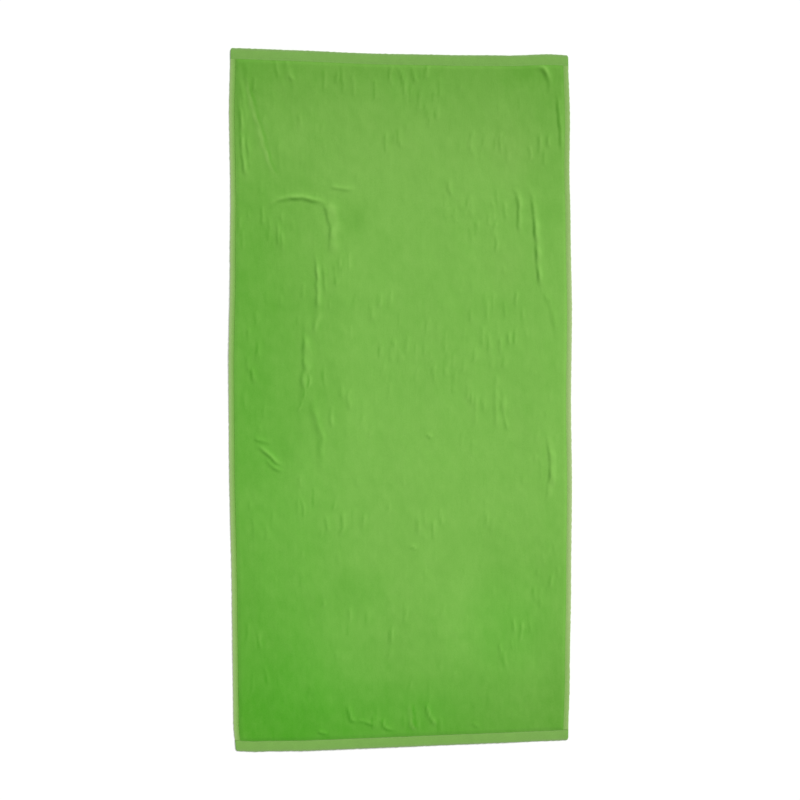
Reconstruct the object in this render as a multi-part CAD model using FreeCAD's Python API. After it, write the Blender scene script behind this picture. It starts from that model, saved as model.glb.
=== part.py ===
"""Velour towel with hemmed edges, as one FreeCAD model.

The towel lies flat with its sheared face up. X runs across its width, Y along its
length and Z up through its thickness. The origin is the middle of its underside.
Lengths are in millimetres.

The cloth is one terry weave in three layers: a ground cloth, a sheared velour pile
on its face and a looped terry pile on its back. Round the edge the cloth has no
pile, is turned under twice, and is sewn down by a lockstitch, which is a needle
thread on the face and a bobbin thread on the back.
"""

import FreeCAD, Part
import os

# The whole towel.
TOWEL_WIDTH = 750.0
TOWEL_LENGTH = 1530.0

# The layers of the cloth. The piles stop short of the hems and are bevelled there.
GROUND_THICKNESS = 0.6
FACE_PILE_HEIGHT = 1.4
BACK_PILE_HEIGHT = 2.0
PILE_EDGE_BEVEL = 0.6
PILE_TO_HEM_GAP = 0.4

# The hems. The tuck is the raw edge, turned in between the two outer layers.
END_HEM_DEPTH = 24.0
SIDE_HEM_DEPTH = 12.0
FOLD_GAP = 0.1
TUCK_SHARE = 0.7

# The lockstitch. A thread dips at each needle hole and rises between them.
STITCH_PITCH = 3.0
STITCH_RAMP = 0.6
SEAM_INSET = 2.5
SEAM_END_GAP = 2.0
THREAD_WIDTH = 0.5
THREAD_HEIGHT = 0.25
THREAD_DIP_HEIGHT = 0.08

# Heights of the layers, from the underside up.
GROUND_BOTTOM = BACK_PILE_HEIGHT
GROUND_TOP = GROUND_BOTTOM + GROUND_THICKNESS
HEM_THICKNESS = 3 * GROUND_THICKNESS + 2 * FOLD_GAP
HEM_BOTTOM = GROUND_TOP - HEM_THICKNESS

# The cloth inside the hems.
PANEL_WIDTH = TOWEL_WIDTH - 2 * SIDE_HEM_DEPTH
PANEL_LENGTH = TOWEL_LENGTH - 2 * END_HEM_DEPTH

# Each edge: its angle about Z from the top edge, the length of its hem, the depth of
# its hem, and how far its outer fold is from the middle of the towel. The end hems
# run the full width, and the side hems fit between them.
EDGES = {
    "top": (0, TOWEL_WIDTH, END_HEM_DEPTH, TOWEL_LENGTH / 2),
    "left": (90, PANEL_LENGTH, SIDE_HEM_DEPTH, TOWEL_WIDTH / 2),
    "bottom": (180, TOWEL_WIDTH, END_HEM_DEPTH, TOWEL_LENGTH / 2),
    "right": (270, PANEL_LENGTH, SIDE_HEM_DEPTH, TOWEL_WIDTH / 2),
}

SAME_PLACE = 1e-6
X_AXIS = FreeCAD.Vector(1, 0, 0)
Z_AXIS = FreeCAD.Vector(0, 0, 1)
CENTRE = FreeCAD.Vector(0, 0, 0)


def slab(width, length, bottom, height):
    """A flat block, centred on the origin in X and Y."""
    corner = FreeCAD.Vector(-width / 2, -length / 2, bottom)
    return Part.makeBox(width, length, height, corner)


def pile(height, bottom, bevelled_at):
    """A layer of pile, with its free edge bevelled at one height."""
    layer = slab(
        PANEL_WIDTH - 2 * PILE_TO_HEM_GAP,
        PANEL_LENGTH - 2 * PILE_TO_HEM_GAP,
        bottom,
        height,
    )
    rim = [
        edge
        for edge in layer.Edges
        if all(abs(corner.Z - bevelled_at) < SAME_PLACE for corner in edge.Vertexes)
    ]
    return layer.makeChamfer(PILE_EDGE_BEVEL, rim)


def hem_outline(depth):
    """The cross-section of a hem as a closed wire in the YZ plane.

    Y is 0 at the hem's inner edge, where its front layer meets the ground cloth, and
    depth at the outer fold. The strip goes out along the front, turns under at the
    outer fold, comes back along the back, turns up at the inner fold, and ends as
    the raw edge of the tuck.
    """
    layer, gap = GROUND_THICKNESS, FOLD_GAP
    outer_radius = HEM_THICKNESS / 2
    inner_radius = layer + gap / 2
    outer_start = depth - outer_radius
    raw_edge = inner_radius + TUCK_SHARE * (outer_start - inner_radius)

    back_top = HEM_BOTTOM + layer
    tuck_bottom = back_top + gap
    tuck_top = tuck_bottom + layer
    front_bottom = tuck_top + gap

    def at(y, z):
        return FreeCAD.Vector(0, y, z)

    def path(*points):
        return [Part.LineSegment(a, b).toShape() for a, b in zip(points, points[1:])]

    outer_fold = Part.Arc(
        at(outer_start, GROUND_TOP),
        at(depth, HEM_BOTTOM + outer_radius),
        at(outer_start, HEM_BOTTOM),
    ).toShape()
    inner_fold = Part.Arc(
        at(inner_radius, HEM_BOTTOM),
        at(0, HEM_BOTTOM + inner_radius),
        at(inner_radius, tuck_top),
    ).toShape()
    front = path(at(0, GROUND_TOP), at(outer_start, GROUND_TOP))
    back = path(at(outer_start, HEM_BOTTOM), at(inner_radius, HEM_BOTTOM))
    tuck_and_inside = path(
        at(inner_radius, tuck_top),
        at(raw_edge, tuck_top),
        at(raw_edge, tuck_bottom),
        at(inner_radius, tuck_bottom),
        at(inner_radius, back_top),
        at(outer_start, back_top),
        at(outer_start, front_bottom),
        at(0, front_bottom),
        at(0, GROUND_TOP),
    )
    return Part.Wire(front + [outer_fold] + back + [inner_fold] + tuck_and_inside)


def hem(length, depth, outer_edge):
    """The folded hem along the top edge of the towel."""
    section = Part.Face(hem_outline(depth))
    section.translate(FreeCAD.Vector(-length / 2, outer_edge - depth, 0))
    return section.extrude(X_AXIS * length)


def thread(length, depth, outer_edge, surface, way):
    """One thread of the seam along the top edge, as a single wavy strip.

    It lies on a surface of the hem at that height and stands off it in Z by way,
    which is 1 for the needle thread on the face and -1 for the bobbin thread on the
    back. It has a whole number of stitches, centred on the hem.
    """
    stitches = int((length - 2 * SEAM_END_GAP) // STITCH_PITCH)
    start = -stitches * STITCH_PITCH / 2
    near_side = outer_edge - depth + SEAM_INSET - THREAD_WIDTH / 2

    def at(x, height):
        return FreeCAD.Vector(x, near_side, surface + way * height)

    points = [at(start, 0)]
    for i in range(stitches):
        hole = start + i * STITCH_PITCH
        points.append(at(hole, THREAD_DIP_HEIGHT))
        points.append(at(hole + STITCH_RAMP, THREAD_HEIGHT))
        points.append(at(hole + STITCH_PITCH - STITCH_RAMP, THREAD_HEIGHT))
    points.append(at(-start, THREAD_DIP_HEIGHT))
    points.append(at(-start, 0))
    side = Part.Face(Part.makePolygon(points + points[:1]))
    return side.extrude(FreeCAD.Vector(0, THREAD_WIDTH, 0))


def towel():
    """Every piece of the towel by its name."""
    pieces = {
        "face_velour_pile": pile(
            FACE_PILE_HEIGHT, GROUND_TOP, GROUND_TOP + FACE_PILE_HEIGHT
        ),
        "ground_cloth": slab(
            PANEL_WIDTH, PANEL_LENGTH, GROUND_BOTTOM, GROUND_THICKNESS
        ),
        "back_terry_pile": pile(BACK_PILE_HEIGHT, 0, 0),
    }
    for edge, (angle, length, depth, outer_edge) in EDGES.items():
        sewn = {
            "hem": hem(length, depth, outer_edge),
            "needle_thread": thread(length, depth, outer_edge, GROUND_TOP, 1),
            "bobbin_thread": thread(length, depth, outer_edge, HEM_BOTTOM, -1),
        }
        for piece, shape in sewn.items():
            shape.rotate(CENTRE, Z_AXIS, angle)
            pieces[f"{edge}_{piece}"] = shape
    return pieces


os.makedirs("parts", exist_ok=True)
for name, shape in towel().items():
    shape.exportStep(f"parts/{name}.step")
    print(name, "valid" if shape.isValid() else "NOT VALID", round(shape.Volume, 1), "mm3")
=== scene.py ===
"""The looks of a velour towel that has been laid face up on a pale floor.

Every piece is built flat, where the CAD model has it. lay() then moves its points to
where the cloth lies, with its pulled edges, slack and creases, so that each layer, hem
and stitch follows one surface. Lengths are in metres, apart from the lists,
which are in millimetres from the towel's middle: x to the right, y to the top edge.
"""

import math

import bpy
import numpy as np
from mathutils import Euler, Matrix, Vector


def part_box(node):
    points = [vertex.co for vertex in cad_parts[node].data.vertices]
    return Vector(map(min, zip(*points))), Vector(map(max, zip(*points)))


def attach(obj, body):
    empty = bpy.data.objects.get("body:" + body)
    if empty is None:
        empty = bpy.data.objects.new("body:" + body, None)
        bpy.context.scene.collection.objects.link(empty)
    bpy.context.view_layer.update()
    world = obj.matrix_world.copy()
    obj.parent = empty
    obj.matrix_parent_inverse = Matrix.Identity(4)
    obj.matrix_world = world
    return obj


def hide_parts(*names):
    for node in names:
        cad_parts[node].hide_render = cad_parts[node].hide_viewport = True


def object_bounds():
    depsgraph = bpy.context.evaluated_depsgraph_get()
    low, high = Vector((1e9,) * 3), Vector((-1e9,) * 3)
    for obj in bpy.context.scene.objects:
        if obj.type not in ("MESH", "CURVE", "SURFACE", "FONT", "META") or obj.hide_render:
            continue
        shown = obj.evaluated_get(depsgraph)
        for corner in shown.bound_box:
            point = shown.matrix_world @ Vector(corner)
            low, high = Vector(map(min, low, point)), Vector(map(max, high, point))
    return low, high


MM = 0.001

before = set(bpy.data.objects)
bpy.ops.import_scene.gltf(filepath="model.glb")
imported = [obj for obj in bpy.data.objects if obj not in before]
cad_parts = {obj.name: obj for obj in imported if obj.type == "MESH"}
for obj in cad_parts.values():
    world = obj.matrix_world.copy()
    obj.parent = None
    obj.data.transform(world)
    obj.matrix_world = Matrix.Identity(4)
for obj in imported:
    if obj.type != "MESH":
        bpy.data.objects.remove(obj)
cad_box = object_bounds()

# The towel's own sizes, from the CAD model.
HALF_WIDTH = cad_box[1].x
HALF_LENGTH = cad_box[1].y
GROUND_LOW, GROUND_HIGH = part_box("ground_cloth")
SIDE_HEM_DEPTH = HALF_WIDTH - GROUND_HIGH.x
END_HEM_DEPTH = HALF_LENGTH - GROUND_HIGH.y
LAYER = GROUND_HIGH.z - GROUND_LOW.z
HEM_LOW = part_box("top_hem")[0].z
HEM_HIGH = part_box("top_hem")[1].z
SEAM_INSET = sum(corner.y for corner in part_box("top_needle_thread")) / 2 - GROUND_HIGH.y

# Each edge: its angle about Z from the top edge, half the length of its hem, the depth
# of its hem, and how far its outer fold is from the towel's middle.
EDGES = {
    "top": (0, HALF_WIDTH, END_HEM_DEPTH, HALF_LENGTH),
    "left": (90, GROUND_HIGH.y, SIDE_HEM_DEPTH, HALF_WIDTH),
    "bottom": (180, HALF_WIDTH, END_HEM_DEPTH, HALF_LENGTH),
    "right": (270, GROUND_HIGH.y, SIDE_HEM_DEPTH, HALF_WIDTH),
}


# ---------------------------------------------------------------- shaping tools


def smooth(t):
    """0 to 1, level at both ends."""
    t = np.clip(t, 0, 1)
    return t * t * (3 - 2 * t)


def eased(points, place):
    """The value at a place on a line through given (place, value) points."""
    places, values = np.array(points, float).T
    after = np.clip(np.searchsorted(places, place), 1, len(places) - 1)
    share = (place - places[after - 1]) / (places[after] - places[after - 1])
    return values[after - 1] + (values[after] - values[after - 1]) * smooth(share)


def ripples(x, y, length, seed, stretch=1.0, waves=20):
    """Soft random waves of about that length, mostly within -1 to 1, drawn out in y."""
    random = np.random.default_rng(seed)
    total = np.zeros(np.broadcast(x, y).shape)
    for _ in range(waves):
        angle = random.uniform(0, math.pi)
        turns = 2 * math.pi / (length * random.uniform(0.7, 1.5))
        phase = random.uniform(0, 2 * math.pi)
        along = x * math.cos(angle) + y * math.sin(angle) / stretch
        total += np.sin(turns * along + phase)
    return total / math.sqrt(waves)


def layered(layers, x, y):
    """Waves of several lengths on each other: their strength, length, seed and stretch."""
    total = 0
    for strength, length, seed, stretch in layers:
        total = total + strength * ripples(x, y, length, seed, stretch)
    return total


def bend_through(points, steps=8):
    """A smooth curve through points, as a close line of points."""
    points = np.array(points, float)
    padded = np.vstack([2 * points[0] - points[1], points, 2 * points[-1] - points[-2]])
    line = []
    for a, b, c, d in zip(padded, padded[1:], padded[2:], padded[3:]):
        for t in np.arange(steps) / steps:
            line.append(
                b
                + (c - a) * t / 2
                + (2 * a - 5 * b + 4 * c - d) * t**2 / 2
                + (3 * b - a - 3 * c + d) * t**3 / 2
            )
    return np.array(line + [points[-1]])


# ---------------------------------------------------------------- how the towel lies

# How far each edge lies outside its straight line, at places along it.
LEFT_EDGE = [
    (-765, -2), (-700, 2.5), (-450, 3.5), (-130, 7.5), (60, 7.5), (300, 2.5), (450, 0.5),
    (620, 2), (765, -1.5),
]
RIGHT_EDGE = [
    (-765, -2), (-620, 2), (-400, 5.5), (-190, 7.5), (0, 5.5), (200, 8), (400, 5), (510, 2.5),
    (620, 4), (765, 0),
]
BOTTOM_EDGE = [(-375, 2), (-330, 5), (-200, 7.5), (375, 7.5)]
TOP_EDGE = [(-375, 1), (-220, -0.5), (-60, -2.5), (110, -1), (230, 1), (340, 6.5), (375, 5.5)]

# Folded-in creases: their height, the widths of their darker and lighter sides, how much
# painted shade darkens the pile on the one and painted highlight lightens it on the other,
# and their line. Seen along the line, the darker side is on the right.
CREASES = [
    # The fan that runs down from the top left corner.
    (1.6, 3.5, 6, 0.20, 0.10, [(-354, 705), (-349, 665), (-345, 630), (-340, 600)]),
    (
        1.2, 4, 7, 0.36, 0.44,
        [(-260, 478), (-282, 504), (-299, 552), (-312, 601), (-325, 644), (-336, 690), (-340, 715)],
    ),
    (
        2.4, 3.5, 6, 0.34, 0.30,
        [(-355, 690), (-353, 640), (-351, 590), (-350, 548), (-345, 510), (-339, 465)],
    ),
    (1.6, 3, 5, 0.24, 0.10, [(-343, 590), (-337, 548), (-330, 500)]),
    # The arch below it, and the long wavering fold that it turns into.
    (
        3.2, 4.5, 7, 0.25, 0.29,
        [(-299, 420), (-280, 432), (-262, 440), (-235, 445), (-203, 441), (-176, 432), (-155, 419)],
    ),
    (3.0, 4.2, 19, 0.31, 0.42, [(-176, 438), (-167, 420), (-160, 390), (-158, 355), (-163, 315)]),
    (2.6, 3.5, 6, 0.16, 0.42, [(-196, 335), (-190, 290), (-188, 250), (-188, 215), (-188, 185)]),
    (1.4, 6, 8, 0.02, 0.26, [(-187, 240), (-188, 205), (-191, 175), (-199, 140)]),
    (1.4, 3.5, 6, 0.22, 0.05, [(-176, 305), (-172, 265), (-174, 225)]),
    (
        2.4, 5, 13, 0.26, 0.22,
        [(-216, 195), (-217, 150), (-217, 112), (-216, 72), (-223, 44), (-220, 18), (-226, -20)],
    ),
    (
        1.8, 8, 6, 0.20, 0.04,
        [(-197, 22), (-197, -15), (-191, -45), (-181, -75), (-180, -115), (-180, -160)],
    ),
    # The small star on that fold.
    (2.0, 3, 4, 0.40, 0.34, [(-212, 66), (-205, 46), (-213, 22)]),
    (1.8, 3, 4, 0.36, 0.34, [(-225, 46), (-218, 22), (-220, 0)]),
    (1.6, 3, 4, 0.30, 0.20, [(-223, 2), (-228, -12), (-233, -26)]),
    # The short level crease at the arch's shoulder.
    (1.5, 4, 6, 0.13, 0.15, [(-161, 470), (-146, 467), (-128, 464), (-104, 466)]),
    # The two upright folds near the right side.
    (2.6, 3.5, 8, 0.42, 0.30, [(245, 474), (257, 456), (261, 435), (261, 400), (263, 360)]),
    (
        3.2, 3.5, 9, 0.48, 0.34,
        [(284, 478), (293, 440), (297, 400), (301, 350), (304, 300), (309, 262), (316, 232)],
    ),
    (1.0, 5, 7, 0.16, 0.03, [(314, 255), (331, 215), (343, 170), (351, 125)]),
    # The line inside the right hem, and the arc round the dented corner.
    (2.0, 3.5, 6, 0.50, 0.10, [(349, 690), (352, 655), (355, 625), (357, 590), (359, 545)]),
    (2.6, 5, 8, 0.22, 0.36, [(296, 744), (318, 738), (329, 718), (333, 680)]),
    # The arc low on the right side.
    (3.0, 3.5, 11, 0.28, 0.52, [(322, -70), (330, -115), (333, -150), (330, -185), (319, -235)]),
    # The slant creases on the left side.
    (2.2, 3.5, 6, 0.24, 0.30, [(-330, -94), (-306, -108), (-286, -128), (-262, -146)]),
    (1.6, 3.5, 6, 0.18, 0.10, [(-306, -126), (-290, -142), (-262, -156)]),
    (1.4, 3.5, 6, 0.18, 0.08, [(-332, -78), (-314, -86), (-290, -94)]),
    # The short upright creases under the middle of the top hem.
    (1.8, 3.5, 6, 0.26, 0.22, [(-14, 742), (-2, 720), (4, 700), (7, 675), (10, 648)]),
    (1.6, 3.5, 5, 0.22, 0.16, [(22, 740), (26, 718), (30, 690)]),
    (1.4, 3.5, 5, 0.16, 0.12, [(-246, 728), (-247, 712), (-236, 692)]),
    # Single short creases over the face.
    (1.8, 3, 5, 0.36, 0.34, [(49, -73), (62, -85)]),
    (1.6, 3, 5, 0.30, 0.24, [(12, -322), (30, -331)]),
    (1.6, 3.5, 6, 0.20, 0.16, [(-276, 396), (-271, 328)]),
    (1.4, 3.5, 6, 0.30, 0.10, [(-333, 78), (-330, 55), (-325, 36)]),
    (1.6, 4, 6, 0.16, 0.18, [(206, 38), (208, -15), (210, -72)]),
    (1.4, 4, 6, 0.14, 0.16, [(161, 24), (162, -20), (163, -62)]),
    (1.2, 4, 6, 0.14, 0.12, [(224, 30), (226, -10), (227, -50)]),
    # The puckers above the bottom hem.
    (2.0, 4, 5.5, 0.26, 0.28, [(-127, -668), (-124, -690), (-119, -705), (-104, -713)]),
    (1.6, 4, 5, 0.22, 0.22, [(-108, -709), (-86, -713), (-62, -720)]),
    (1.8, 4, 5, 0.26, 0.28, [(-44, -702), (-48, -716), (-40, -728), (-20, -735)]),
    (2.0, 5, 6, 0.34, 0.44, [(30, -738), (20, -722), (16, -700), (14, -668)]),
    (2.0, 4, 5.5, 0.24, 0.28, [(47, -668), (51, -690), (58, -710), (74, -728)]),
    (1.4, 3, 5, 0.20, 0.16, [(150, -722), (168, -738)]),
    (1.4, 3, 5, 0.18, 0.10, [(-196, -728), (-170, -737)]),
]

# Groups of small upright creases: their middle, half the width and height of the group,
# and how many there are.
CREASE_GROUPS = [
    ((10, 700), (60, 32), 9),
    ((-20, 575), (16, 24), 3),
    ((60, 660), (24, 30), 4),
    ((-290, 705), (46, 24), 4),
    ((-135, 712), (30, 26), 5),
    ((190, 570), (40, 34), 7),
    ((125, 450), (34, 26), 5),
    ((170, 385), (46, 44), 7),
    ((225, 430), (26, 34), 4),
    ((-132, 320), (18, 56), 6),
    ((-30, 120), (22, 34), 5),
    ((70, 130), (60, 44), 10),
    ((205, 115), (50, 40), 8),
    ((100, 55), (34, 26), 4),
    ((180, -10), (54, 54), 8),
    ((55, -262), (22, 30), 4),
    ((190, -258), (12, 22), 2),
    ((-125, -255), (26, 34), 4),
    ((240, -505), (20, 80), 5),
    ((-10, -708), (90, 22), 7),
    ((-145, 0), (24, 60), 4),
    ((-195, -240), (20, 40), 3),
    ((-48, 210), (24, 20), 3),
    ((220, 210), (60, 20), 7),
    ((312, 545), (26, 40), 4),
    ((-335, 120), (16, 120), 5),
    ((-300, 360), (46, 46), 6),
    ((-80, -500), (60, 40), 5),
    ((-330, -560), (18, 100), 4),
    ((325, -420), (30, 60), 4),
]

# How far the pile stands up, with painted shade and light in it: along the middle of the
# towel, what share of that is left across it, and soft patches that lie another way, with
# their middle, half their width and height, and how much darker they look. Pile that lies
# down looks darker. Painted shade makes the face darker towards both ends, the left side
# and the bottom left, and the long narrow patches at the left and right rims paint light
# against the shade on the pile's taper there.
NAP_AND_SHADE_ALONG = [
    (-765, 0.20), (-725, 0.21), (-690, 0.31), (-650, 0.42), (-600, 0.56), (-500, 0.70),
    (-400, 0.79), (-140, 0.87), (100, 0.81), (350, 0.77), (480, 0.74), (560, 0.63),
    (630, 0.48), (680, 0.35), (720, 0.22), (765, 0.18),
]
NAP_AND_SHADE_ACROSS = [
    (-375, 0.42), (-320, 0.48), (-265, 0.60), (-215, 0.70), (-160, 0.88), (-100, 0.98),
    (375, 1.0),
]
NAP_AND_SHADE_PATCHES = [
    ((279, 729), (26, 20), 0.25),
    ((-265, 620), (75, 60), -0.14),
    ((-100, 400), (35, 40), 0.25),
    ((350, 530), (100, 150), 0.19),
    ((-180, 208), (110, 26), 0.10),
    ((205, 208), (90, 24), 0.12),
    ((-165, 10), (32, 55), 0.14),
    ((-215, -180), (40, 60), -0.12),
    ((-300, -290), (85, 110), -0.15),
    ((215, -370), (35, 60), 0.10),
    ((-125, -415), (55, 45), 0.18),
    ((350, -400), (60, 60), 0.12),
    ((130, -490), (45, 95), -0.17),
    ((365, -660), (42, 110), 0.20),
    ((365, 700), (36, 60), 0.12),
    ((-330, 540), (50, 60), -0.14),
    ((370, 150), (14, 560), -0.12),
    ((-372, 60), (12, 560), -0.20),
    ((345, -330), (45, 250), 0.09),
    ((305, -520), (45, 55), 0.12),
    ((330, 420), (40, 28), 0.16),
    ((-330, -210), (34, 26), -0.16),
    ((-352, 490), (24, 32), -0.13),
    ((-215, 350), (24, 26), -0.10),
    ((-240, 560), (50, 34), -0.11),
    ((-130, -560), (45, 30), -0.10),
    ((140, -560), (24, 26), -0.10),
    ((80, -140), (26, 26), 0.10),
    ((260, -70), (22, 24), -0.12),
    ((260, -210), (22, 24), -0.11),
    ((-130, 400), (40, 34), 0.08),
    ((235, -440), (60, 110), 0.06),
]

# How much painted sheen hazes the green, standing for the light that grazes the pile, from
# 0 to 1, and the soft patches where that painted sheen is stronger or the green deeper.
PAINTED_SHEEN = 0.5
PAINTED_SHEEN_PATCHES = [
    ((0, 760), (600, 330), 0.50),
    ((-360, -100), (110, 450), -0.20),
    ((215, -510), (120, 120), -0.38),
    ((-240, -330), (140, 330), -0.22),
    ((40, -690), (110, 60), -0.22),
    ((10, 690), (110, 50), -0.15),
    ((250, 560), (60, 70), 0.22),
    ((235, 300), (50, 60), 0.15),
    ((-80, -440), (60, 60), -0.15),
    ((-230, -680), (200, 170), -0.45),
    ((340, -700), (120, 160), 0.20),
]


def patches(places, x, y):
    """The sum of soft patches at a place in millimetres."""
    total = np.zeros(np.broadcast(x, y).shape)
    for (middle_x, middle_y), (half_x, half_y), amount in places:
        off = ((x - middle_x) / half_x) ** 2 + ((y - middle_y) / half_y) ** 2
        total += amount * np.exp(-off)
    return total


def nap_and_painted_shade(x, y):
    """How far the pile stands up at a place in millimetres, with painted shade, from 0 to 1."""
    return eased(NAP_AND_SHADE_ALONG, y) * eased(NAP_AND_SHADE_ACROSS, x) - patches(NAP_AND_SHADE_PATCHES, x, y)


# The maps are fine grids over the towel as it lies: the slack in the cloth, how far the
# creases lift its face, and how far its pile stands up, with painted shade and highlight.
MAP_STEP = 1.5 * MM
MAP_MARGIN = 12 * MM
map_x = np.arange(-HALF_WIDTH - MAP_MARGIN, HALF_WIDTH + MAP_MARGIN, MAP_STEP)
map_y = np.arange(-HALF_LENGTH - MAP_MARGIN, HALF_LENGTH + MAP_MARGIN, MAP_STEP)
grid_x, grid_y = np.meshgrid(map_x, map_y, indexing="ij")

# How far, and over what length, the lines of the creases waver.
WOBBLE = 1.0 * MM
WOBBLE_LENGTH = 35 * MM


def nearest_on(line, x, y):
    """Each point's distance from a line, its side, and how far along the line it is."""
    best = np.full(x.shape, np.inf)
    side = np.zeros(x.shape)
    place = np.zeros(x.shape)
    for i, (start, end) in enumerate(zip(line, line[1:])):
        run = end - start
        share = ((x - start[0]) * run[0] + (y - start[1]) * run[1]) / (run @ run)
        share = np.clip(share, 0, 1)
        off_x = x - start[0] - share * run[0]
        off_y = y - start[1] - share * run[1]
        distance = np.hypot(off_x, off_y)
        closer = distance < best
        best = np.where(closer, distance, best)
        side = np.where(closer, np.sign(off_x * run[1] - off_y * run[0]), side)
        place = np.where(closer, (i + share) / (len(line) - 1), place)
    return best, side, place


# Bands along a crease, each with its middle and its width as shares of the width of its
# side. The pile is dark at the foot of the darker side, light beyond that foot, where it
# stands up again, and light on the crest of the lighter side: partly by its lie, mostly as
# painted shade at the foot and painted highlight beyond it and on the crest.
FOOT = (0.80, 0.75)
BEYOND = (2.60, 0.90)
CREST = (-0.45, 0.55)
FOOT_PAINTED_SHADE = 0.88
BEYOND_PAINTED_HIGHLIGHT = 0.20

# A crease fades in and out over a share of its length, is that much uneven along it, and
# ends that many widths away from its line.
FADE_SHARE = 0.3
UNEVEN = 0.3
REACH = 3.2


def band(off, side_width, place):
    """How far points are inside a band along a crease, with 1 in its middle."""
    middle, width = place
    return np.exp(-(((off - middle * side_width) / (width * side_width)) ** 2))


def crease(lift, dark, light, one):
    """Adds one crease's height, and its brushed pile with painted shade and highlight, to the maps.
    """
    rise, dark_width, light_width, darker, lighter, points = one
    line = bend_through(np.array(points, float) * MM)
    reach = REACH * max(dark_width, light_width) * MM
    low, high = line.min(0) - reach, line.max(0) + reach
    across = slice(*np.searchsorted(map_x, [low[0], high[0]]))
    along = slice(*np.searchsorted(map_y, [low[1], high[1]]))
    part = (across, along)
    x = grid_x[part] + WOBBLE * wobble_x[part]
    y = grid_y[part] + WOBBLE * wobble_y[part]
    distance, side, place = nearest_on(line, x, y)
    off = side * distance / MM
    fade = smooth(place / FADE_SHARE) * smooth((1 - place) / FADE_SHARE)
    fade = fade * (1 + UNEVEN * wobble_y[part])
    ridge = np.exp(-((off / np.where(off > 0, dark_width, light_width)) ** 2))
    # Painted shade at the foot, and painted highlight beyond it and on the crest.
    foot = FOOT_PAINTED_SHADE * darker * band(off, dark_width, FOOT)
    beyond = BEYOND_PAINTED_HIGHLIGHT * darker * band(off, dark_width, BEYOND)
    crest = lighter * band(off, light_width, CREST)
    lift[part] = np.maximum(lift[part], fade * rise * MM * ridge)
    dark[part] = np.maximum(dark[part], fade * foot)
    light[part] = np.maximum(light[part], fade * (crest + beyond))


# The smaller creases, at their strongest: their height, and how much painted shade darkens
# and painted highlight lightens the pile. Each has its own share of these. Then come the
# width of their darker side, how much wider the lighter one is, and how far they lean, in
# degrees, and bow.
SMALL_RISE = 1.6
SMALL_PAINTED_SHADE = 0.34
SMALL_PAINTED_HIGHLIGHT = 0.30
SMALL_SHARES = (0.4, 1.0)
SMALL_WIDTH = (3.2, 4.6)
SMALL_WIDER = 1.3
SMALL_LEAN = 5
SMALL_BOW = 1.5

# Half their length and their strength, in the groups and all over the face, and how many
# are all over the face, that far from its edges.
GROUP_HALF_LENGTH = (16, 32)
GROUP_STRENGTH = (0.5, 1.0)
GROUP_JITTER = 0.2
FAINT_HALF_LENGTH = (8, 26)
FAINT_STRENGTH = (0.2, 0.5)
FAINT_COUNT = 160
FAINT_MARGIN = (30, 40)


def upright_crease(random, x, y, half_length, strength):
    """A short crease that runs down the towel, with about that strength, from 0 to 1."""
    middle = np.array([x, y])
    angle = math.radians(270 + random.normal(0, SMALL_LEAN))
    run = half_length * np.array([math.cos(angle), math.sin(angle)])
    bow = random.normal(0, SMALL_BOW) * np.array([-run[1], run[0]]) / half_length
    rise, darker, lighter = strength * random.uniform(*SMALL_SHARES, 3)
    width = random.uniform(*SMALL_WIDTH)
    return (
        SMALL_RISE * rise,
        width,
        SMALL_WIDER * width,
        SMALL_PAINTED_SHADE * darker,
        SMALL_PAINTED_HIGHLIGHT * lighter,
        [middle - run, middle + bow, middle + run],
    )


def all_creases():
    """The listed creases, those of the groups, and faint ones all over the face."""
    random = np.random.default_rng(9)
    creases = list(CREASES)
    for (x, y), (half_x, half_y), count in CREASE_GROUPS:
        for place in np.linspace(-1, 1, count):
            creases.append(
                upright_crease(
                    random,
                    x + half_x * (place + random.normal(0, GROUP_JITTER)),
                    y + half_y * random.uniform(-1, 1),
                    random.uniform(*GROUP_HALF_LENGTH),
                    random.uniform(*GROUP_STRENGTH),
                )
            )
    face = np.array([HALF_WIDTH, HALF_LENGTH]) / MM - FAINT_MARGIN
    for _ in range(FAINT_COUNT):
        x, y = random.uniform(-1, 1, 2) * face
        half_length = random.uniform(*FAINT_HALF_LENGTH)
        strength = random.uniform(*FAINT_STRENGTH)
        creases.append(upright_crease(random, x, y, half_length, strength))
    return creases


# How high the slack is in millimetres, with how softly it meets the floor, its waves, and
# the waves of the nap.
SLACK_HEIGHT = 1.0
SLACK_SOFTNESS = 0.7
SLACK_WAVES = [(1.2, 0.26, 3, 1.6), (0.35, 0.075, 4, 1.5), (0.14, 0.026, 5, 1.8)]
NAP_WAVES = [(0.025, 0.090, 6, 1.6), (0.030, 0.034, 7, 2.4), (0.030, 0.013, 8, 3.0)]


def make_maps():
    """The maps of the slack, of the creases' height, and of the nap with painted shade, from 0 to
    1.
    """
    slack = SLACK_HEIGHT + layered(SLACK_WAVES, grid_x, grid_y)
    # Where it would sink, the cloth lies on the floor.
    slack = (slack + np.sqrt(slack**2 + SLACK_SOFTNESS**2)) / 2 * MM

    lift, dark, light = np.zeros((3, *grid_x.shape))
    for one in all_creases():
        crease(lift, dark, light, one)
    nap = nap_and_painted_shade(grid_x / MM, grid_y / MM) + light - dark + layered(NAP_WAVES, grid_x, grid_y)
    return slack, lift, nap


wobble_x = ripples(grid_x, grid_y, WOBBLE_LENGTH, seed=1)
wobble_y = ripples(grid_x, grid_y, WOBBLE_LENGTH, seed=2)
slack_map, lift_map, nap_and_shade_map = make_maps()


# From here to its end, a map has no further cell to read.
LAST_CELL = 1.001


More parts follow.
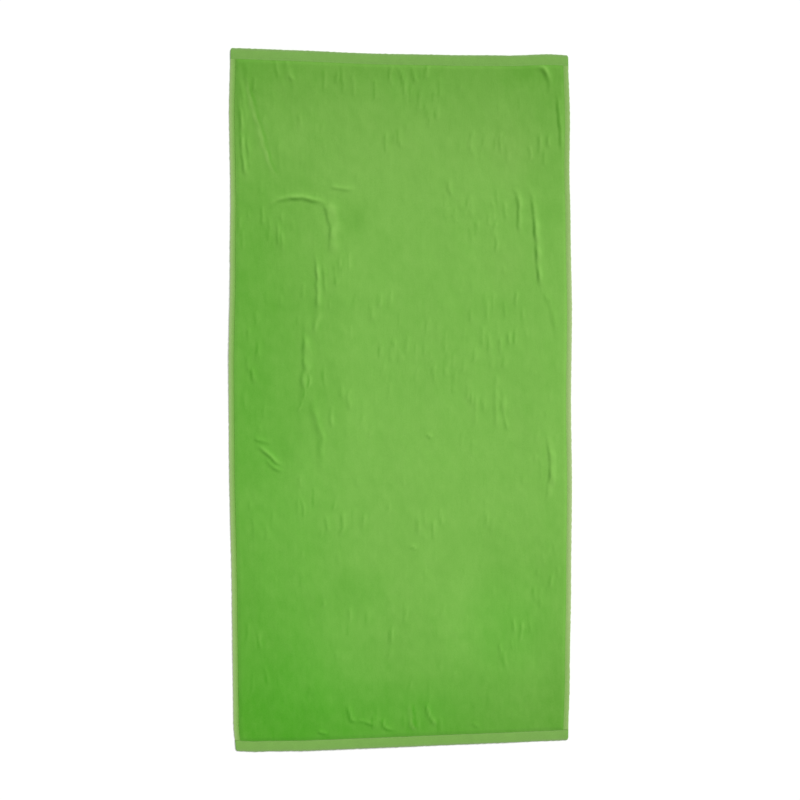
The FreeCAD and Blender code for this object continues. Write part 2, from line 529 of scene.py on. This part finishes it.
def read_map(values, x, y):
    """A map's values at places on the towel as it lies."""
    column = np.clip((x - map_x[0]) / MAP_STEP, 0, len(map_x) - LAST_CELL)
    row = np.clip((y - map_y[0]) / MAP_STEP, 0, len(map_y) - LAST_CELL)
    i, j = column.astype(int), row.astype(int)
    s, t = column - i, row - j
    near = values[i, j] * (1 - s) + values[i + 1, j] * s
    far = values[i, j + 1] * (1 - s) + values[i + 1, j + 1] * s
    return near * (1 - t) + far * t


def pulled(x, y):
    """Where places on the flat towel are once its edges are pulled out of line."""
    to_right = (x / HALF_WIDTH + 1) / 2
    to_top = (y / HALF_LENGTH + 1) / 2
    left, right = eased(LEFT_EDGE, y / MM), eased(RIGHT_EDGE, y / MM)
    bottom, top = eased(BOTTOM_EDGE, x / MM), eased(TOP_EDGE, x / MM)
    across = right * to_right - left * (1 - to_right)
    along = top * to_top - bottom * (1 - to_top)
    return x + across * MM, y + along * MM


# The hems have no pile under them, so the cloth comes down there by a share of the height
# that they have in CAD, from a little inside them. They have a share of the slack, which
# is whole further inside.
HEM_DROP = 0.8
DROP_START = 7 * MM
DROP_END = -2 * MM
HEM_SLACK = 0.45
WHOLE_SLACK = 60 * MM


def lay(points):
    """Points of the flat towel, moved to where they are on the towel as it lies.

    The creases are pressed into the face, and the cloth under them stays level.
    """
    x, y, z = np.asarray(points, float).T
    laid_x, laid_y = pulled(x, y)
    inside = np.minimum(GROUND_HIGH.x - np.abs(x), GROUND_HIGH.y - np.abs(y))
    drop = HEM_DROP * HEM_LOW * (1 - smooth((inside - DROP_END) / (DROP_START - DROP_END)))
    slack_share = HEM_SLACK + (1 - HEM_SLACK) * smooth(inside / WHOLE_SLACK)
    slack = read_map(slack_map, laid_x, laid_y) * slack_share
    creased = np.clip((z - GROUND_HIGH.z) / (cad_box[1].z - GROUND_HIGH.z), 0, 1)
    lift = read_map(lift_map, laid_x, laid_y) * creased
    laid_z = np.maximum(z + slack + lift - drop, 0)
    return np.stack([laid_x, laid_y, laid_z], axis=1)


# ---------------------------------------------------------------- pieces


def make_piece(name, flat_points, faces, material, slot, *nodes):
    """A piece of the towel from its flat points. It stands for those CAD nodes."""
    mesh = bpy.data.meshes.new(name)
    mesh.from_pydata(lay(flat_points).tolist(), [], faces)
    mesh.shade_smooth()
    mesh.materials.append(material)
    piece = bpy.data.objects.new(name, mesh)
    bpy.context.scene.collection.objects.link(piece)
    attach(piece, "root")
    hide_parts(*nodes)
    return piece


def paint(piece, name, values):
    """Gives a piece's points values that its material reads by that name."""
    piece.data.attributes.new(name, "FLOAT", "POINT").data.foreach_set("value", values)


# Where the first places of a grid are, in from each of its ends, and how many short steps
# the way between is measured in.
GRID_ENDS = np.array([0, 0.3, 0.9, 1.9, 3.4]) * MM
WAY_STEPS = 2000


def spread(low, high, steps):
    """Places from low to high, closer at the two ends, and the coarse ones among them.

    steps gives the distance between places, in millimetres, at places along the way.
    The coarse places are the ends and every third one in between.
    """
    first, last = low + GRID_ENDS[-1], high - GRID_ENDS[-1]
    way = np.linspace(first, last, WAY_STEPS)
    passed = np.cumsum(1 / np.interp(way / MM, *np.array(steps, float).T))
    passed *= (way[1] - way[0]) / MM
    cells = 3 * round((passed[-1] - passed[0]) / 3)
    between = np.interp(np.linspace(passed[0], passed[-1], cells + 1), passed, way)
    places = np.concatenate([low + GRID_ENDS[:-1], between, high - GRID_ENDS[-2::-1]])
    start = len(GRID_ENDS) - 1
    coarse = [0, *range(start, start + cells + 1, 3), len(places) - 1]
    return places, coarse


def layer_mesh(low, high, steps, outer_height, inner_height, facing):
    """A closed flat layer, as points and faces.

    Its outer side is a fine grid with the heights that outer_height gives, and its
    inner side is a coarse one. steps are the two that spread() takes, across and along
    the towel. facing is 1 if the outer side is the upper one.
    """
    xs, coarse_x = spread(low.x, high.x, steps[0])
    ys, coarse_y = spread(low.y, high.y, steps[1])
    x, y = np.meshgrid(xs, ys, indexing="ij")
    outer = np.stack([x, y, outer_height(x, y)], axis=-1).reshape(-1, 3)
    outer_id = np.arange(x.size).reshape(x.shape)

    ring = np.zeros(x.shape, bool)
    ring[[0, -1], :] = ring[:, [0, -1]] = True
    wanted = ring.copy()
    wanted[np.ix_(coarse_x, coarse_y)] = True
    inner_id = np.where(wanted, x.size + np.cumsum(wanted).reshape(x.shape) - 1, -1)
    inner = np.stack([x[wanted], y[wanted], np.full(wanted.sum(), inner_height)], axis=1)

    a, b = outer_id[:-1, :-1].ravel(), outer_id[1:, :-1].ravel()
    c, d = outer_id[1:, 1:].ravel(), outer_id[:-1, 1:].ravel()
    faces = np.stack([a, b, c, d], axis=1).tolist()

    def line(start, end):
        """The inner points from one coarse corner up to the next, leaving that out."""
        (i, j), (k, m) = start, end
        if j == m and j in (0, len(ys) - 1):
            return [inner_id[n, j] for n in range(i, k, 1 if k > i else -1)]
        if i == k and i in (0, len(xs) - 1):
            return [inner_id[i, n] for n in range(j, m, 1 if m > j else -1)]
        return [inner_id[i, j]]

    for i, k in zip(coarse_x, coarse_x[1:]):
        for j, m in zip(coarse_y, coarse_y[1:]):
            corners = [(i, j), (i, m), (k, m), (k, j)]
            around = zip(corners, corners[1:] + corners[:1])
            faces.append([int(n) for pair in around for n in line(*pair)])

    last_x, last_y = len(xs) - 1, len(ys) - 1
    rim = [(i, 0) for i in range(last_x)] + [(last_x, j) for j in range(last_y)]
    rim += [(i, last_y) for i in range(last_x, 0, -1)] + [(0, j) for j in range(last_y, 0, -1)]
    for p, q in zip(rim, rim[1:] + rim[:1]):
        faces.append([int(n) for n in (inner_id[p], inner_id[q], outer_id[q], outer_id[p])])
    if facing < 0:
        faces = [face[::-1] for face in faces]
    return np.vstack([outer, inner]), faces


def from_rim(x, y, low, high):
    """How far a point is inside a layer's outline."""
    return np.minimum(
        np.minimum(x - low.x, high.x - x), np.minimum(y - low.y, high.y - y)
    )


PILE_TAPER = 1.0 * MM
TAPER_REACH = 6 * MM


def taper(x, y, low, high):
    """How much lower a pile is, towards the seams that hold it down."""
    return PILE_TAPER * (1 - smooth(from_rim(x, y, low, high) / TAPER_REACH))


# The steps of the grids, in millimetres, at places across and along the towel. The
# face's are finer where most of the larger creases are.
FACE_STEPS = (
    [(-375, 2.6), (-150, 2.6), (-110, 4.6), (190, 4.6), (225, 2.8), (375, 2.6)],
    [
        (-765, 2.7), (-665, 2.8), (-620, 4.6), (-215, 4.6), (-190, 2.9), (-80, 2.9),
        (-50, 4.6), (370, 4.6), (395, 2.7), (475, 2.7), (500, 4.6), (630, 4.2), (765, 2.9),
    ],
)
BACK_STEPS = ([(-375, 3.8), (375, 3.8)], [(-765, 3.8), (765, 3.8)])
GROUND_STEPS = ([(-375, 11), (375, 11)], [(-765, 11), (765, 11)])

# The clumps of the face's tufts, with their strength in millimetres.
TUFT_CLUMPS = [(0.06, 0.011, 21, 1.0), (0.05, 0.008, 22, 1.0)]

# How far the outermost tufts of the face hang over the hems, how unevenly and over what
# length along the rim, and how far inside the rim that starts.
PILE_OVERHANG = 0.7 * MM
TUFT_UNEVEN = 0.3 * MM
TUFT_LENGTH = 7 * MM
TUFT_REACH = 2 * MM

# The loops on the back stand between nothing and twice this height.
LOOP_HEIGHT = 0.16 * MM
LOOP_LENGTH = 8.5 * MM


def velour_face(material):
    """The sheared pile on the face, in soft clumps, with its tufts uneven at the rim."""
    low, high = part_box("face_velour_pile")

    def top(x, y):
        return high.z + layered(TUFT_CLUMPS, x, y) * MM - taper(x, y, low, high)

    points, faces = layer_mesh(low, high, FACE_STEPS, top, low.z, 1)
    x, y, z = points.T
    inside = from_rim(x, y, low, high)
    overhang = PILE_OVERHANG + TUFT_UNEVEN * ripples(x, y, TUFT_LENGTH, seed=23)
    over = np.where(z > low.z, overhang * (1 - smooth(inside / TUFT_REACH)), 0)
    points[:, 0] += over * np.sign(x) * (np.abs(x) > high.x - TUFT_REACH)
    points[:, 1] += over * np.sign(y) * (np.abs(y) > high.y - TUFT_REACH)
    piece = make_piece("velour_face", points, faces, material, "velour", "face_velour_pile")
    laid_x, laid_y = pulled(x, y)
    # The nap holds painted shade and highlight besides the pile's lie.
    paint(piece, "nap", read_map(nap_and_shade_map, laid_x, laid_y))
    # Painted sheen: a whitish haze of light on the pile, put into its colour.
    paint(piece, "painted_sheen", PAINTED_SHEEN + patches(PAINTED_SHEEN_PATCHES, laid_x / MM, laid_y / MM))
    return piece


def terry_back(material):
    """The looped pile on the back, which is pebbled by its loops."""
    low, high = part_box("back_terry_pile")

    def bottom(x, y):
        loops = LOOP_HEIGHT * (1 + ripples(x, y, LOOP_LENGTH, seed=31))
        return low.z + loops + taper(x, y, low, high)

    points, faces = layer_mesh(low, high, BACK_STEPS, bottom, high.z, -1)
    piece = make_piece("terry_back", points, faces, material, "terry", "back_terry_pile")
    return piece


def ground_weave(material):
    """The ground cloth between the piles."""
    low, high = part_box("ground_cloth")

    def top(x, y):
        return np.full(x.shape, high.z)

    points, faces = layer_mesh(low, high, GROUND_STEPS, top, low.z, 1)
    piece = make_piece("ground_weave", points, faces, material, "ground_weave", "ground_cloth")
    return piece


# ---------------------------------------------------------------- hems and seams

# The steps of the hems' points, along the hem and across it: by the seam, on the rest of
# the front, and on the back.
HEM_STEP = 1.5 * MM
SEAM_STEP = 0.8 * MM
FRONT_STEP = 2.4 * MM
BACK_STEP = 3 * MM

# How far the raw edge reaches from the inner fold to the outer one, as a share, and how far
# the inside of the outer fold bulges, as a share of a layer.
TUCK_SHARE = 0.7
FOLD_BULGE = 0.25

# The corners are rounded, and thinner at their ends by a share.
CORNER_RADIUS = 5 * MM
CORNER_THINNING = 0.25

# How much of a hem's thickness its seam pinches away, how wide, and how much of that
# comes and goes between the needle holes.
STITCH_PITCH = 3 * MM
SEAM_PINCH = 0.16
PINCH_WIDTH = 1.3 * MM
HOLE_SHARE = 0.35

# How much the hem puffs out past its seam, with how unevenly and over what length.
HEM_PUFF = 0.24
PUFF_UNEVEN = 0.35
PUFF_LENGTH = 21 * MM

# How uneven the outer fold is, and over what length.
FOLD_UNEVEN = 0.25 * MM
FOLD_LENGTH = 12 * MM

# Each hem turns paler towards its outer fold, where painted light lies: a painted highlight
# on the side hems' folds and greyer painted shade on the end hems' rounded folds. Given
# are the share of its depth where that begins, which on the right is further in than the
# hem, and how strong it gets at places up the towel.
LEFT_FOLD_SHADING = [(-765, 0.65), (-600, 0.80), (600, 0.75), (765, 0.50)]
RIGHT_FOLD_SHADING = [
    (-765, 0.42), (-600, 0.55), (-450, 0.95), (250, 0.95), (400, 0.65), (560, 0.50),
    (765, 0.35),
]
HEM_FOLD_SHADING = {
    "top": (0.75, [(-800, 1), (800, 1)]),
    "left": (0.20, LEFT_FOLD_SHADING),
    "bottom": (0.75, [(-800, 1), (800, 1)]),
    "right": (-0.50, RIGHT_FOLD_SHADING),
}


def turned(edge, along, out, up):
    """Points beside one edge, given along it, out from the middle and up."""
    angle = math.radians(EDGES[edge][0])
    x = along * math.cos(angle) - out * math.sin(angle)
    y = along * math.sin(angle) + out * math.cos(angle)
    return np.stack([x, y, up], axis=-1)


def fullness(edge, along, out):
    """How thick the hem is there, as a share of its CAD thickness.

    The seam pinches it, most of all at the needle holes, and it puffs out between the
    seam and the outer fold.
    """
    angle, _, depth, _ = EDGES[edge]
    past_seam = np.clip((out - SEAM_INSET) / (depth - SEAM_INSET), 0, 1)
    uneven = 1 + PUFF_UNEVEN * ripples(along, 0 * along, PUFF_LENGTH, seed=41 + angle)
    puff = HEM_PUFF * np.sin(math.pi * past_seam) * uneven
    holes = 1 - HOLE_SHARE + HOLE_SHARE * np.cos(2 * math.pi * along / STITCH_PITCH)
    pinch = SEAM_PINCH * holes * np.exp(-(((out - SEAM_INSET) / PINCH_WIDTH) ** 2))
    return 1 + puff - pinch


def arc(middle_out, middle_up, radius, start, end, steps):
    """Points on an arc of a hem's cross-section, as (out, up), with angles in degrees."""
    angles = np.radians(np.linspace(start, end, steps))
    return [(middle_out + radius * math.cos(a), middle_up + radius * math.sin(a)) for a in angles]


def row(start, end, up, step):
    """Points on a level line of a hem's cross-section, both ends left out."""
    count = max(2, round(abs(end - start) / step))
    return [(out, up) for out in np.linspace(start, end, count + 1)[1:-1]]


def hem_section(depth):
    """The twice-turned fold's outline as (out, up), counter to the clock from the top."""
    gap = (HEM_HIGH - HEM_LOW - 3 * LAYER) / 2
    outer_radius = (HEM_HIGH - HEM_LOW) / 2
    inner_radius = LAYER + gap / 2
    fold = depth - outer_radius
    raw_edge = inner_radius + TUCK_SHARE * (fold - inner_radius)
    lower, upper = HEM_LOW + LAYER, HEM_HIGH - LAYER
    section = [(0, HEM_HIGH)]
    section += row(0, 2 * SEAM_INSET, HEM_HIGH, SEAM_STEP) + [(2 * SEAM_INSET, HEM_HIGH)]
    section += row(2 * SEAM_INSET, fold, HEM_HIGH, FRONT_STEP)
    section += arc(fold, HEM_LOW + outer_radius, outer_radius, 90, -90, steps=9)
    section += row(fold, inner_radius, HEM_LOW, BACK_STEP)
    section += arc(inner_radius, HEM_LOW + inner_radius, inner_radius, 270, 90, steps=7)
    section += [(raw_edge, upper - gap), (raw_edge, lower + gap)]
    section += [(inner_radius, lower + gap), (inner_radius, lower)]
    section += [(fold, lower), (fold + FOLD_BULGE * LAYER, HEM_LOW + outer_radius)]
    section += [(fold, upper), (0, upper)]
    return np.array(section)


def hem(edge, material):
    """The folded hem along one edge, puffed and pinched by its seam."""
    angle, half, depth, outer_edge = EDGES[edge]
    section = hem_section(depth)
    steps = 2 * round(half / HEM_STEP)
    along = np.linspace(-half, half, steps + 1)
    s, out = np.meshgrid(along, section[:, 0], indexing="ij")
    up = np.broadcast_to(section[:, 1], s.shape)
    middle = (HEM_HIGH + HEM_LOW) / 2
    up = middle + (up - middle) * fullness(edge, s, out)
    if edge in ("top", "bottom"):
        from_end = np.clip(half - np.abs(s), 0, CORNER_RADIUS)
        cut = CORNER_RADIUS - np.sqrt(CORNER_RADIUS**2 - (CORNER_RADIUS - from_end) ** 2)
        out = out * (1 - cut / depth)
        cap = smooth(1 - from_end / CORNER_RADIUS)
        up = middle + (up - middle) * (1 - CORNER_THINNING * cap)
    uneven = FOLD_UNEVEN * ripples(s, 0 * s, FOLD_LENGTH, seed=51 + angle)
    out = out + uneven * smooth((out - SEAM_INSET) / (depth - SEAM_INSET))
    points = turned(edge, s, outer_edge - depth + out, up).reshape(-1, 3)

    count = len(section)
    start = np.arange(steps)[:, None] * count + np.arange(count)
    beside = np.arange(steps)[:, None] * count + (np.arange(count) + 1) % count
    faces = np.stack([start, beside, beside + count, start + count], axis=-1)
    faces = faces.reshape(-1, 4)[:, ::-1].tolist()
    faces.append(list(range(count)))
    faces.append([steps * count + n for n in range(count)][::-1])
    piece = make_piece(f"{edge}_hem_fold", points, faces, material, "hem_weave", f"{edge}_hem")
    start, places = HEM_FOLD_SHADING[edge]
    outward = np.clip((out.ravel() / depth - start) / (1 - start), 0, 1)
    # Painted highlight at the side hems' outer folds, painted shade at the end hems' ones.
    paint(piece, "fold_shading", outward * eased(places, points[:, 1] / MM))
    return piece


THREAD_SIDES = 6
THREAD_RINGS = np.array([0, 0.14, 0.5, 0.86, 1])

# The thread's radius as a share of its height in CAD, the least share of that radius that
# a stitch can thin to, and how much of a stitch at each end is as thin as its end.
THREAD_RADIUS = 0.9
THREAD_THINNEST = 0.45
THREAD_END = 0.08

# How much of the pitch a stitch fills, how far askew it lies, and how much wider it is
# than it is high.
STITCH_SHARE = 0.92
STITCH_SLANT = 0.16 * MM
STITCH_WIDER = 1.15

# A stitch is arched by the rise and lowered by the sink, as shares of the radius.
STITCH_RISE = 0.9
STITCH_SINK = 0.55


def stitches(edge, thread, side, material):
    """One thread of a seam as separate stitches, each dipping into its needle holes."""
    _, _, depth, outer_edge = EDGES[edge]
    low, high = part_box(f"{edge}_{thread}")
    seam_half = high.x if edge in ("top", "bottom") else high.y
    count = round(2 * seam_half / STITCH_PITCH)
    holes = -seam_half + STITCH_PITCH * np.arange(count)
    radius = THREAD_RADIUS * (high.z - low.z)
    surface = HEM_HIGH if side > 0 else HEM_LOW
    middle = (HEM_HIGH + HEM_LOW) / 2

    turn = 2 * math.pi * np.arange(THREAD_SIDES) / THREAD_SIDES
    hole, t, angle = np.meshgrid(holes, THREAD_RINGS, turn, indexing="ij")
    bulge = np.sin(math.pi * np.clip(t, THREAD_END, 1 - THREAD_END))
    thick = radius * (THREAD_THINNEST + (1 - THREAD_THINNEST) * bulge)
    s = hole + STITCH_PITCH * ((1 - STITCH_SHARE) / 2 + STITCH_SHARE * t)
    slant = STITCH_SLANT * (t - 0.5)
    out = SEAM_INSET + slant + STITCH_WIDER * thick * np.cos(angle)
    rest = middle + (surface - middle) * fullness(edge, s, SEAM_INSET + 0 * s)
    up = rest + side * radius * (STITCH_RISE * bulge - STITCH_SINK) + thick * np.sin(angle)
    points = turned(edge, s, outer_edge - depth + out, up).reshape(-1, 3)

    rings = len(THREAD_RINGS)
    faces = []
    for first in range(0, count * rings * THREAD_SIDES, rings * THREAD_SIDES):
        for ring in range(first, first + (rings - 1) * THREAD_SIDES, THREAD_SIDES):
            for n in range(THREAD_SIDES):
                m = (n + 1) % THREAD_SIDES
                faces.append([ring + n, ring + m, ring + m + THREAD_SIDES, ring + n + THREAD_SIDES])
        faces.append([first + n for n in range(THREAD_SIDES)][::-1])
        faces.append([first + (rings - 1) * THREAD_SIDES + n for n in range(THREAD_SIDES)])
    name = f"{edge}_{thread.replace('thread', 'stitches')}"
    return make_piece(name, points, faces, material, "sewing_thread", f"{edge}_{thread}")


# ---------------------------------------------------------------- materials

# Greens: of the face's pile where it lies and where it stands, deep and with painted
# sheen, of the hems inside and at the outer fold, which has painted shade on the end hems
# and a painted highlight on the side hems, of the ground cloth, in the painted shade
# between the back's loops and on their painted lit tops, and the thread's twist.
LYING_DEEP, LYING_PAINTED_SHEEN = (0.062, 0.338, 0.009), (0.124, 0.342, 0.036)
STANDING_DEEP, STANDING_PAINTED_SHEEN = (0.176, 0.480, 0.063), (0.238, 0.484, 0.093)
END_HEM_GREENS = ((0.192, 0.405, 0.080), (0.222, 0.372, 0.122))
SIDE_HEM_GREENS = ((0.185, 0.410, 0.065), (0.430, 0.570, 0.245))
GROUND_GREEN = (0.13, 0.34, 0.055)
LOOP_GREENS = ((0.06, 0.25, 0.015), (0.17, 0.44, 0.06))
THREAD_GREENS = ((0.20, 0.42, 0.09), (0.33, 0.55, 0.17))

# The tints of the sheen on pile and on smooth yarn.
PILE_SHEEN = (0.75, 1.0, 0.5)
YARN_SHEEN = (0.8, 1.0, 0.6)

WEAVE_PITCH = 0.55 * MM
LOOP_SIZE = 2.2 * MM


def new_material(name, roughness, sheen, tint):
    """A cloth material, its node tree and its shader."""
    material = bpy.data.materials.new(name)
    material.use_nodes = True
    shader = material.node_tree.nodes["Principled BSDF"]
    shader.inputs["Roughness"].default_value = roughness
    shader.inputs["Specular IOR Level"].default_value = 0.15
    shader.inputs["Sheen Weight"].default_value = sheen
    shader.inputs["Sheen Roughness"].default_value = 0.5
    shader.inputs["Sheen Tint"].default_value = (*tint, 1)
    return material, material.node_tree, shader


def add(tree, kind, settings=(), **inputs):
    """A node with its settings, and its inputs joined to sockets or set to values."""
    node = tree.nodes.new(kind)
    for name, value in dict(settings).items():
        setattr(node, name, value)
    for name, value in inputs.items():
        socket = node.inputs[int(name[1:]) if name[0] == "_" else name.replace("_", " ")]
        if isinstance(value, bpy.types.NodeSocket):
            tree.links.new(value, socket)
        else:
            socket.default_value = value
    return node


def grain(tree, size, stretch=1.0, detail=2.0):
    """Noise with clumps of about that size in metres, drawn out along y."""
    place = add(tree, "ShaderNodeTexCoord").outputs["Object"]
    scaled = add(
        tree,
        "ShaderNodeVectorMath",
        {"operation": "MULTIPLY"},
        _0=place,
        _1=(1 / size, 1 / (size * stretch), 1 / size),
    )
    noise = add(tree, "ShaderNodeTexNoise", Vector=scaled.outputs[0], Scale=1.0, Detail=detail)
    return noise.outputs["Fac"]


def sum_up(tree, first, *parts):
    """first plus each part, given as (socket, weight), where a socket's middle is 0.5."""
    total = first
    for socket, weight in parts:
        scaled = add(tree, "ShaderNodeMath", {"operation": "MULTIPLY_ADD"}, _0=socket, _1=weight)
        scaled.inputs[2].default_value = -weight / 2
        total = add(
            tree, "ShaderNodeMath", {"operation": "ADD"}, _0=total, _1=scaled.outputs[0]
        ).outputs[0]
    return total


def mix_colours(tree, factor, first, second):
    """first at 0 to second at 1. Each is a colour or a socket that gives one."""
    mix = add(tree, "ShaderNodeMix", {"data_type": "RGBA"})
    # The node has inputs of each name for every kind of data. Its colours are 6 and 7.
    tree.links.new(factor, mix.inputs[0])
    for place, colour in ((6, first), (7, second)):
        if isinstance(colour, tuple):
            mix.inputs[place].default_value = (*colour, 1)
        else:
            tree.links.new(colour, mix.inputs[place])
    return mix.outputs[2]


def bumped(tree, shader, height, distance, strength):
    """Gives the shader relief from a height, which is that distance from 0 to 1."""
    bump = add(tree, "ShaderNodeBump", Height=height, Distance=distance, Strength=strength)
    tree.links.new(bump.outputs["Normal"], shader.inputs["Normal"])


def velour_material():
    """Sheared pile: nap and painted shade set its depth of green, painted sheen hazes it, clumps
    vary it.
    """
    material, tree, shader = new_material("velour", roughness=0.85, sheen=0.35, tint=PILE_SHEEN)
    nap = add(tree, "ShaderNodeAttribute", {"attribute_name": "nap"}).outputs["Fac"]
    fine = grain(tree, 1.6 * MM, stretch=1.5)
    brushed = grain(tree, 9 * MM, stretch=2.2)
    clouded = grain(tree, 45 * MM, stretch=1.4)
    mixed = sum_up(tree, nap, (fine, 0.40), (brushed, 0.18), (clouded, 0.08))
    painted_sheen = add(tree, "ShaderNodeAttribute", {"attribute_name": "painted_sheen"}).outputs["Fac"]
    lying = mix_colours(tree, painted_sheen, LYING_DEEP, LYING_PAINTED_SHEEN)
    standing = mix_colours(tree, painted_sheen, STANDING_DEEP, STANDING_PAINTED_SHEEN)
    colour = mix_colours(tree, mixed, lying, standing)
    tree.links.new(colour, shader.inputs["Base Color"])
    relief = sum_up(tree, brushed, (fine, 0.5))
    bumped(tree, shader, relief, distance=0.7 * MM, strength=0.5)
    return material


def weave(tree):
    """The height of a plain weave: warp and weft cross in a chequer of small pillows."""
    place = add(tree, "ShaderNodeTexCoord").outputs["Object"]
    split = add(tree, "ShaderNodeSeparateXYZ", Vector=place)
    waves = []
    for axis in ("X", "Y"):
        turned_by = add(
            tree,
            "ShaderNodeMath",
            {"operation": "MULTIPLY"},
            _0=split.outputs[axis],
            _1=math.pi / WEAVE_PITCH,
        )
        waves.append(
            add(tree, "ShaderNodeMath", {"operation": "SINE"}, _0=turned_by.outputs[0]).outputs[0]
        )
    product = add(tree, "ShaderNodeMath", {"operation": "MULTIPLY"}, _0=waves[0], _1=waves[1])
    return add(
        tree, "ShaderNodeMath", {"operation": "MULTIPLY_ADD"}, _0=product.outputs[0], _1=0.5, _2=0.5
    ).outputs[0]


def woven_material(name, inner, outer, yarn_contrast):
    """Flat woven cloth with uneven yarns, turning from inner to outer with its painted fold light.
    """
    material, tree, shader = new_material(name, roughness=0.8, sheen=0.15, tint=YARN_SHEEN)
    cloth = weave(tree)
    yarns = grain(tree, 2.2 * MM)
    wear = grain(tree, 22 * MM)
    shade = sum_up(tree, 1.0, (cloth, yarn_contrast), (yarns, yarn_contrast), (wear, 0.12))
    fold_shading = add(tree, "ShaderNodeAttribute", {"attribute_name": "fold_shading"}).outputs["Fac"]
    green = mix_colours(tree, fold_shading, inner, outer)
    scaled = add(tree, "ShaderNodeVectorMath", {"operation": "SCALE"}, _0=green, Scale=shade)
    tree.links.new(scaled.outputs[0], shader.inputs["Base Color"])
    relief = sum_up(tree, cloth, (yarns, 0.6))
    bumped(tree, shader, relief, distance=0.25 * MM, strength=0.6)
    return material


def terry_material():
    """Looped pile, with painted light on each loop's top and painted shade between loops."""
    material, tree, shader = new_material("terry", roughness=0.9, sheen=0.25, tint=PILE_SHEEN)
    place = add(tree, "ShaderNodeTexCoord").outputs["Object"]
    loops = add(tree, "ShaderNodeTexVoronoi", Vector=place, Scale=1 / LOOP_SIZE)
    tops = add(
        tree, "ShaderNodeMath", {"operation": "SUBTRACT"}, _0=1.0, _1=loops.outputs["Distance"]
    ).outputs[0]
    mixed = sum_up(tree, tops, (grain(tree, 30 * MM), 0.3))
    # Painted light on the loops' tops and painted shade between them.
    colour = mix_colours(tree, mixed, *LOOP_GREENS)
    tree.links.new(colour, shader.inputs["Base Color"])
    bumped(tree, shader, tops, distance=1.0 * MM, strength=0.8)
    return material


def thread_material():
    """Spun thread, with its twist as fine bands."""
    material, tree, shader = new_material(
        "sewing_thread", roughness=0.55, sheen=0.1, tint=YARN_SHEEN
    )
    twist = grain(tree, 0.35 * MM, detail=1.0)
    colour = mix_colours(tree, twist, *THREAD_GREENS)
    tree.links.new(colour, shader.inputs["Base Color"])
    bumped(tree, shader, twist, distance=0.08 * MM, strength=0.6)
    return material


# ---------------------------------------------------------------- stage

FLOOR_HALF = 60.0
FLOOR_WHITE = 0.9
FLOOR_GLOW = 0.12
SKY_SHARE = 0.56
SUN_SHARE = 0.46
SUN_FROM = Vector((0.50, 0.62, 0.62))
SUN_SOFTNESS = math.radians(14)
LENS = 50.0
SENSOR = 36.0
CAMERA_AIM = Vector((-0.007, 0.001, 0))
CAMERA_TURN = Euler([math.radians(a) for a in (-1.12, -6.30, -0.25)])
CAMERA_DISTANCE = 2.463


def pale_floor():
    """A plain white floor, a little lit of its own so that it stays white."""
    mesh = bpy.data.meshes.new("floor")
    corners = [(-1, -1), (1, -1), (1, 1), (-1, 1)]
    mesh.from_pydata([(x * FLOOR_HALF, y * FLOOR_HALF, 0) for x, y in corners], [], [(0, 1, 2, 3)])
    floor = bpy.data.objects.new("floor", mesh)
    bpy.context.scene.collection.objects.link(floor)
    material = bpy.data.materials.new("floor")
    material.use_nodes = True
    shader = material.node_tree.nodes["Principled BSDF"]
    shader.inputs["Base Color"].default_value = (FLOOR_WHITE, FLOOR_WHITE, FLOOR_WHITE, 1)
    shader.inputs["Roughness"].default_value = 1.0
    shader.inputs["Specular IOR Level"].default_value = 0.0
    shader.inputs["Emission Color"].default_value = (1, 1, 1, 1)
    shader.inputs["Emission Strength"].default_value = FLOOR_GLOW
    mesh.materials.append(material)


def studio_light():
    """A white sky, and a soft lamp high to the upper right."""
    world = bpy.data.worlds.new("studio")
    world.use_nodes = True
    tree = world.node_tree
    background = tree.nodes["Background"]
    background.inputs["Strength"].default_value = SKY_SHARE
    background.inputs["Color"].default_value = (1, 1, 1, 1)
    seen = add(tree, "ShaderNodeBackground", Color=(1, 1, 1, 1), Strength=1.0)
    rays = add(tree, "ShaderNodeLightPath")
    mix = add(
        tree,
        "ShaderNodeMixShader",
        _0=rays.outputs["Is Camera Ray"],
        _1=background.outputs[0],
        _2=seen.outputs[0],
    )
    tree.links.new(mix.outputs[0], tree.nodes["World Output"].inputs["Surface"])
    bpy.context.scene.world = world

    lamp = bpy.data.lights.new("key", "SUN")
    towards = SUN_FROM.normalized()
    lamp.energy = SUN_SHARE * math.pi / towards.z
    lamp.angle = SUN_SOFTNESS
    key = bpy.data.objects.new("key", lamp)
    key.rotation_euler = towards.to_track_quat("Z", "Y").to_euler()
    bpy.context.scene.collection.objects.link(key)


def overhead_camera():
    """The camera above the towel, a little to the left of its middle."""
    data = bpy.data.cameras.new("camera")
    data.lens = LENS
    data.sensor_width = SENSOR
    camera = bpy.data.objects.new("camera", data)
    camera.rotation_euler = CAMERA_TURN
    camera.location = CAMERA_AIM + CAMERA_TURN.to_matrix() @ Vector((0, 0, CAMERA_DISTANCE))
    bpy.context.scene.collection.objects.link(camera)
    bpy.context.scene.camera = camera


# ---------------------------------------------------------------- the scene

bpy.context.scene.view_settings.view_transform = "Standard"
overhead_camera()
studio_light()
pale_floor()

end_cloth = woven_material("hem_weave", *END_HEM_GREENS, yarn_contrast=0.14)
side_cloth = woven_material("side_hem_weave", *SIDE_HEM_GREENS, yarn_contrast=0.14)
ground_cloth = woven_material("ground_weave", GROUND_GREEN, GROUND_GREEN, yarn_contrast=0.20)
spun_thread = thread_material()

velour_face(velour_material())
terry_back(terry_material())
for edge in EDGES:
    hem(edge, end_cloth if edge in ("top", "bottom") else side_cloth)
    stitches(edge, "needle_thread", 1, spun_thread)
    stitches(edge, "bobbin_thread", -1, spun_thread)
ground_weave(ground_cloth)
